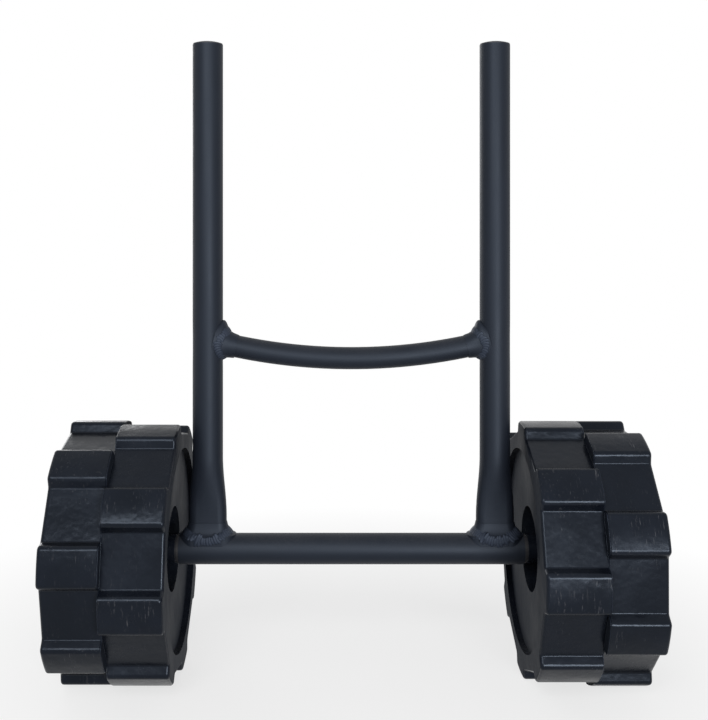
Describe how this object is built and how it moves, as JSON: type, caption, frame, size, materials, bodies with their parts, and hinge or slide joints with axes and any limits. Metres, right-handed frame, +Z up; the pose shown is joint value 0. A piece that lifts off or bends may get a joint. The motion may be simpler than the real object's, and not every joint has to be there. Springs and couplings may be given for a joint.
{
  "type": "twin wheel carrier frame",
  "caption": "Welded tube frame with upright posts, a bowed cross brace and an axle tube, carried on wide hollow plastic wheels with staggered chunky lugs.",
  "frame": {"origin": "on the ground, straight under the middle of the axle", "axes": "+Z up along the posts, +X along the axle to the right-hand wheel, -Y is the front"},
  "size_m": [0.5588, 0.25, 0.6284],
  "materials": {
    "frame_paint": "satin",
    "weld_bead": "satin",
    "cap_plastic": "matte",
    "wheel_plastic": "satin",
    "insert_plastic": "matte",
    "thrust_washer_plastic": "matte",
    "bush_plastic": "matte",
    "rod_steel": "satin",
    "zinc_steel": "satin",
    "screw_steel": "satin"
  },
  "bodies": {
    "frame": {"axle_tube": "frame_paint", "cross_brace": "frame_paint", "axle_rod": "rod_steel", "left_upright": "frame_paint", "left_base_weld": "weld_bead", "left_brace_weld": "weld_bead", "left_post_cap": "cap_plastic", "left_tube_insert": "insert_plastic", "left_inner_washer": "thrust_washer_plastic", "left_outer_washer": "zinc_steel", "left_retaining_clip": "zinc_steel", "right_upright": "frame_paint", "right_base_weld": "weld_bead", "right_brace_weld": "weld_bead", "right_post_cap": "cap_plastic", "right_tube_insert": "insert_plastic", "right_inner_washer": "thrust_washer_plastic", "right_outer_washer": "zinc_steel", "right_retaining_clip": "zinc_steel"},
    "left_wheel": {"left_outer_wheel_half": "wheel_plastic", "left_inner_wheel_half": "wheel_plastic", "left_wheel_screws": "screw_steel", "left_outer_hub_bush": "bush_plastic", "left_inner_hub_bush": "bush_plastic"},
    "right_wheel": {"right_outer_wheel_half": "wheel_plastic", "right_inner_wheel_half": "wheel_plastic", "right_wheel_screws": "screw_steel", "right_outer_hub_bush": "bush_plastic", "right_inner_hub_bush": "bush_plastic"}
  },
  "joints": [
    {"name": "left_wheel_spin", "type": "hinge", "parent": "frame", "child": "left_wheel", "pos_m": [-0.2254, 0, 0.125], "axis": [1, 0, 0], "continuous": true},
    {"name": "right_wheel_spin", "type": "hinge", "parent": "frame", "child": "right_wheel", "pos_m": [0.2254, 0, 0.125], "axis": [1, 0, 0], "continuous": true}
  ]
}
